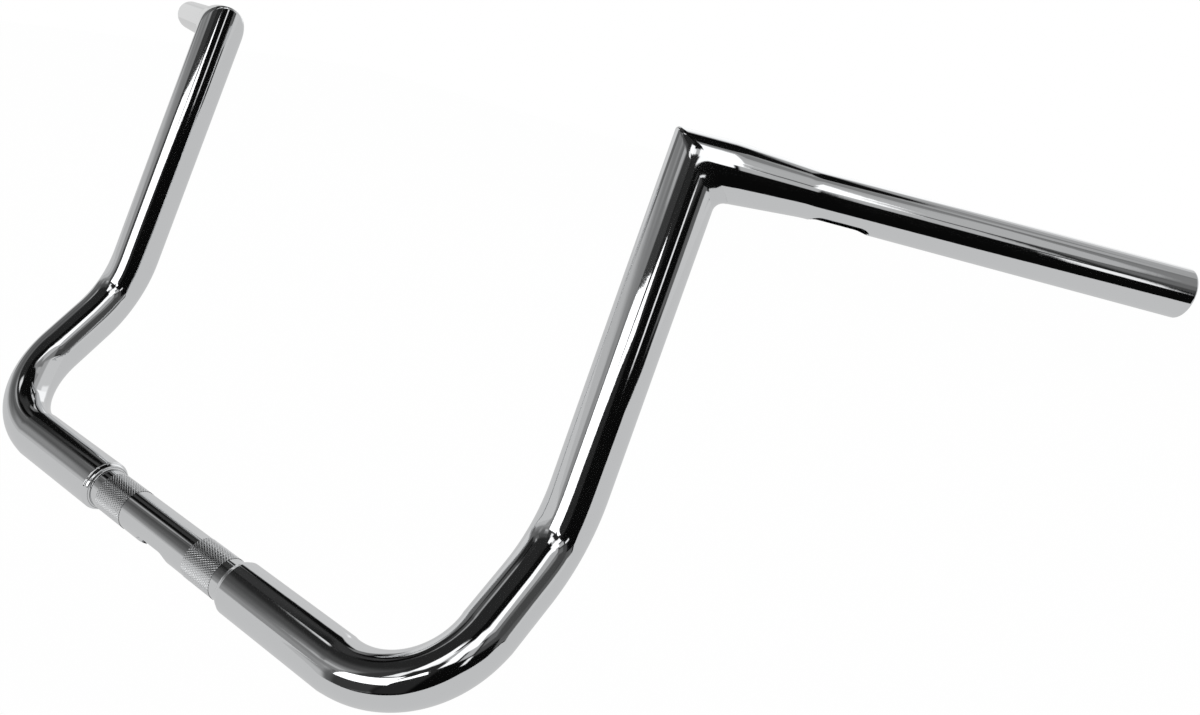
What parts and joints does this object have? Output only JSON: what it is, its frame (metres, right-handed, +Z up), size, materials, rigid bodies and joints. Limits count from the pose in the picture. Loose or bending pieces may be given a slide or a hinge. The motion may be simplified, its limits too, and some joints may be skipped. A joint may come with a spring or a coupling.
{
  "type": "motorcycle handlebar",
  "caption": "Tall chromed motorcycle handlebar: thick bent risers with pointed mitred tops, grip tubes that taper down, and a thinner knurled tube between them for the riser clamps.",
  "frame": {"origin": "middle of the clamp tube, on its axis", "axes": "+X along the clamp tube to the rider's left, +Y back to the rider, +Z up"},
  "size_m": [0.8352, 0.2974, 0.3058],
  "materials": {
    "polished_chrome": "bright polished chrome plate on steel tube",
    "chromed_weld": "weld ground smooth, polished and chrome plated with the tube"
  },
  "bodies": {
    "root": {"clamp_tube": "polished_chrome", "left_riser_tube": "polished_chrome", "left_grip_tube": "polished_chrome", "left_step_weld": "chromed_weld", "left_mitre_weld": "chromed_weld", "right_riser_tube": "polished_chrome", "right_grip_tube": "polished_chrome", "right_step_weld": "chromed_weld", "right_mitre_weld": "chromed_weld"}
  },
  "joints": []
}
